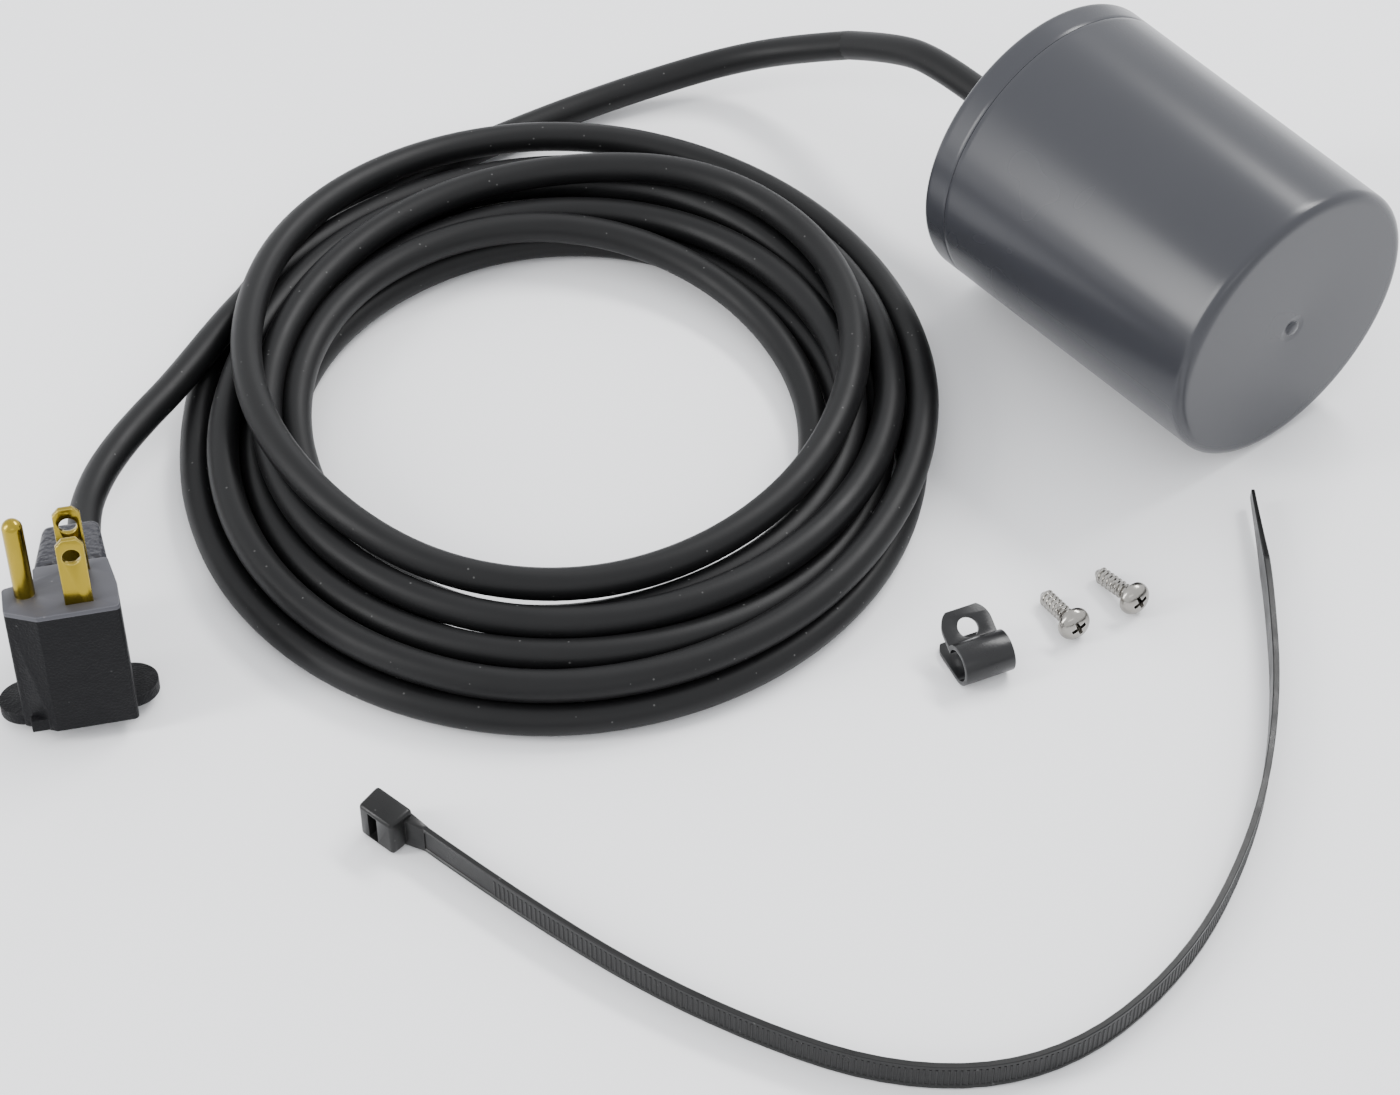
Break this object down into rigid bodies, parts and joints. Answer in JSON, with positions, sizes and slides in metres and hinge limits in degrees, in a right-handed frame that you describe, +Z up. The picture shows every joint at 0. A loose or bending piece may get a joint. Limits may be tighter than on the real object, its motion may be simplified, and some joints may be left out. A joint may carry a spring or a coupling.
{
  "type": "tethered float switch",
  "caption": "Tethered float switch for a sump pump: a float on a coiled cord, a piggyback plug, a P-clamp, screws and a cable tie.",
  "frame": {"origin": "on the surface it lies on, below the middle of the float and the loose hardware", "axes": "+Z up, +X to the right and +Y away from a viewer who faces the float's closed end and the plug's blades"},
  "size_m": [0.3338, 0.3387, 0.0787],
  "materials": {
    "float_plastic": "satin moulded grey plastic",
    "cord_rubber": "matte rubber jacket",
    "potting_resin": "poured epoxy",
    "inner_plastic": "natural moulded plastic",
    "ball_steel": "polished steel",
    "switch_plastic": "black phenolic",
    "button_plastic": "red moulded plastic",
    "contact_brass": "stamped brass",
    "lever_steel": "stamped stainless steel",
    "screw_steel": "stainless steel",
    "lead_insulation": "wire insulation",
    "plug_black": "fine stippled moulding",
    "plug_grey": "smooth moulded grey",
    "blade_brass": "stamped brass",
    "clamp_nylon": "black nylon",
    "tie_nylon": "black nylon"
  },
  "bodies": {
    "cord_set": {"cord_tether": "cord_rubber", "cord_float_run": "cord_rubber", "cord_coil": "cord_rubber", "cord_plug_run": "cord_rubber", "plug_body": "plug_black", "plug_face": "plug_grey", "line_blade": "blade_brass", "neutral_blade": "blade_brass", "ground_pin": "blade_brass", "strain_relief": "plug_black", "outlet_face": "plug_black", "line_contact": "contact_brass", "neutral_contact": "contact_brass", "ground_sleeve": "contact_brass"},
    "float": {"float_shell": "float_plastic", "float_cap": "float_plastic", "cord_gland": "cord_rubber", "cord_stub": "cord_rubber", "potting_seal": "potting_resin", "ball_track": "inner_plastic", "track_end_plug": "inner_plastic", "switch_carrier": "inner_plastic", "switch_case": "switch_plastic", "switch_cover": "switch_plastic", "snap_blade": "contact_brass", "fixed_contacts": "contact_brass", "switch_terminals": "contact_brass", "quick_connects": "contact_brass", "lever_bracket": "lever_steel", "switch_screws": "screw_steel", "cord_leads": "lead_insulation"},
    "ball": {"steel_ball": "ball_steel"},
    "lever": {"switch_lever": "lever_steel"},
    "plunger": {"switch_plunger": "button_plastic"},
    "clamp": {"cord_clamp": "clamp_nylon"},
    "screw_1": {"screw_1": "screw_steel"},
    "screw_2": {"screw_2": "screw_steel"},
    "tie": {"cable_tie": "tie_nylon"}
  },
  "joints": [
    {"name": "float_swing", "type": "hinge", "parent": "cord_set", "child": "float", "pos_m": [0.0268, 0.13458, 0.03973], "axis": [-0.7826, -0.6225, 0], "range_deg": [0, 60], "deforming": ["cord_tether"]},
    {"name": "ball_roll", "type": "slide", "parent": "float", "child": "ball", "axis": [0.6224, -0.7825, -0.0187], "range_m": [-0.03, 0]},
    {"name": "lever_press", "type": "hinge", "parent": "float", "child": "lever", "pos_m": [0.07276, 0.07681, 0.04055], "axis": [0.7826, 0.6225, 0], "range_deg": [0, 5], "stiffness_Nm_per_rad": 0.02},
    {"name": "plunger_press", "type": "slide", "parent": "float", "child": "plunger", "axis": [0.0116, -0.0146, 0.9998], "range_m": [0, 0.0008], "stiffness_N_per_m": 0.002, "springref_m": 0.10765},
    {"name": "clamp_lift", "type": "slide", "parent": "cord_set", "child": "clamp", "axis": [0, 0, 1], "range_m": [0, 0.05]},
    {"name": "screw_1_lift", "type": "slide", "parent": "cord_set", "child": "screw_1", "axis": [0, 0, 1], "range_m": [0, 0.05]},
    {"name": "screw_2_lift", "type": "slide", "parent": "cord_set", "child": "screw_2", "axis": [0, 0, 1], "range_m": [0, 0.05]},
    {"name": "tie_slide", "type": "slide", "parent": "cord_set", "child": "tie", "axis": [0, -1, 0], "range_m": [0, 0.05]}
  ],
  "couplings": [
    {"joint": "plunger_press", "follows": "lever_press", "m_per_rad": 0.0075}
  ]
}
